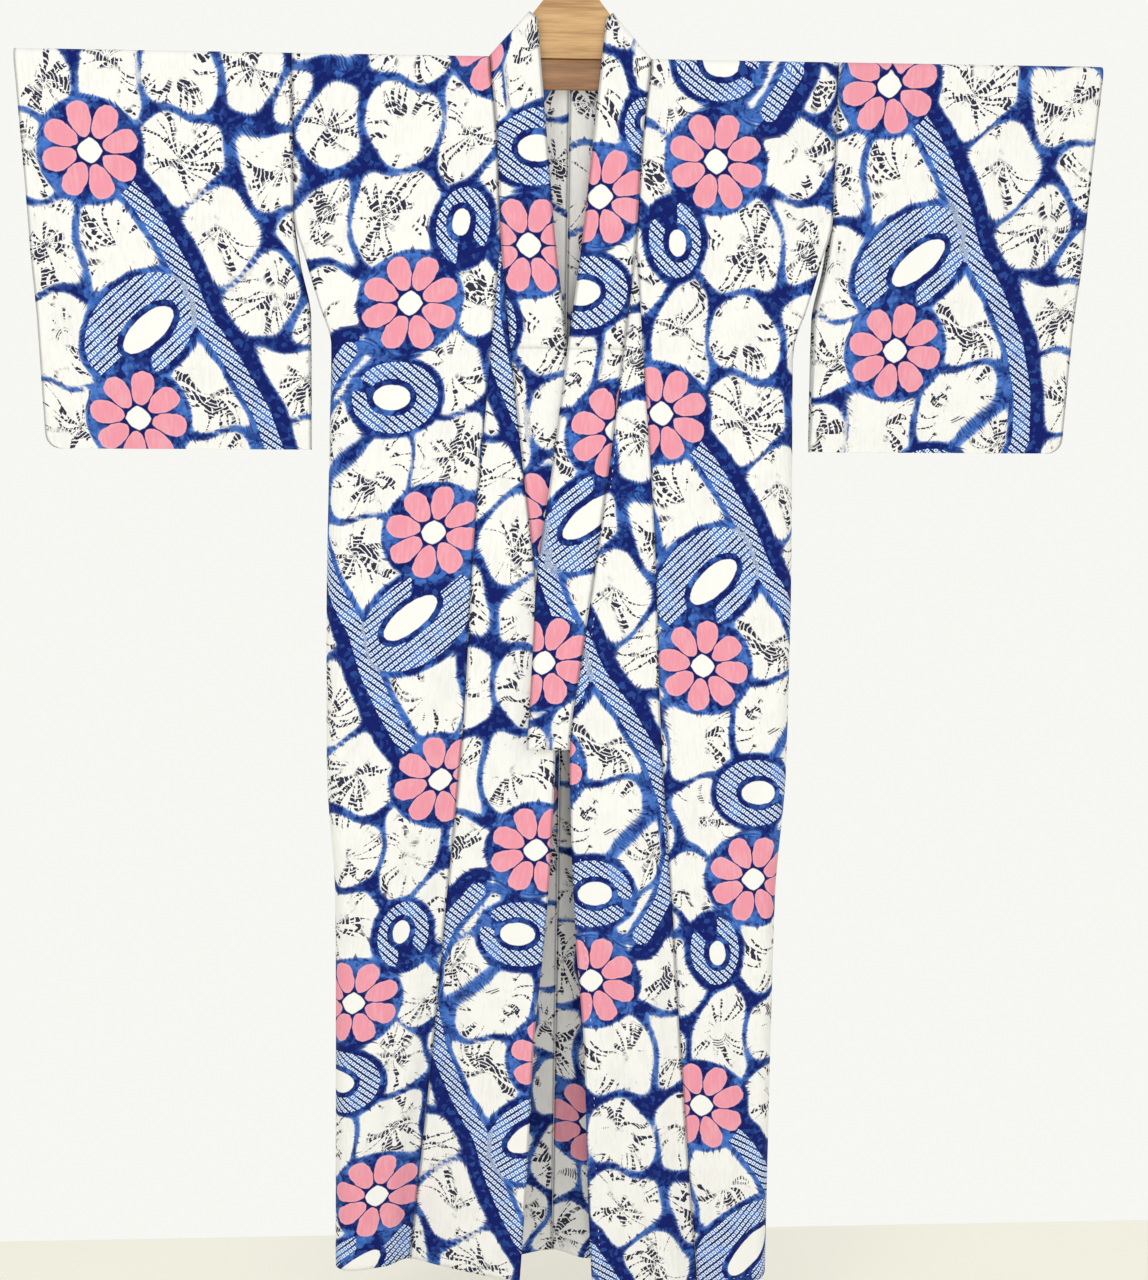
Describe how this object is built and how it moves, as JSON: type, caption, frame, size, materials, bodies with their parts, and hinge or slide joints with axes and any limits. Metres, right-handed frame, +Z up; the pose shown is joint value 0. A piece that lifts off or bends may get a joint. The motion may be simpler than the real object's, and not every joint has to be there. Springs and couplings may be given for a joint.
{
  "type": "cotton yukata robe on a wooden hanger",
  "caption": "Unlined cotton yukata robe with open-edged rectangular sleeves and a crossed collar, spread on a wooden hanger with a bar through the sleeves and a gable board in the neck.",
  "frame": {"origin": "hanging point, under the top of the hook, where it rests on a rail or a peg", "axes": "+Z up, the robe's front faces -Y, the wearer's left is +X"},
  "size_m": [1.3266, 0.1056, 1.7939],
  "materials": {
    "cotton_print": "plain-woven cotton with a fine crinkle, tie-dyed in blues and pink on white, matt",
    "cotton_collar": "the same tie-dyed cotton, folded in several layers, matt",
    "wood": "plain light brown wood, satin",
    "steel": "plain steel wire"
  },
  "bodies": {
    "root": {"body_panel_left": "cotton_print", "body_panel_right": "cotton_print", "okumi_left": "cotton_print", "okumi_right": "cotton_print", "sleeve_left": "cotton_print", "sleeve_right": "cotton_print", "collar": "cotton_collar", "over_collar": "cotton_collar", "hanger_bar": "wood", "hanger_board": "wood", "hanger_hook": "steel"}
  },
  "joints": []
}
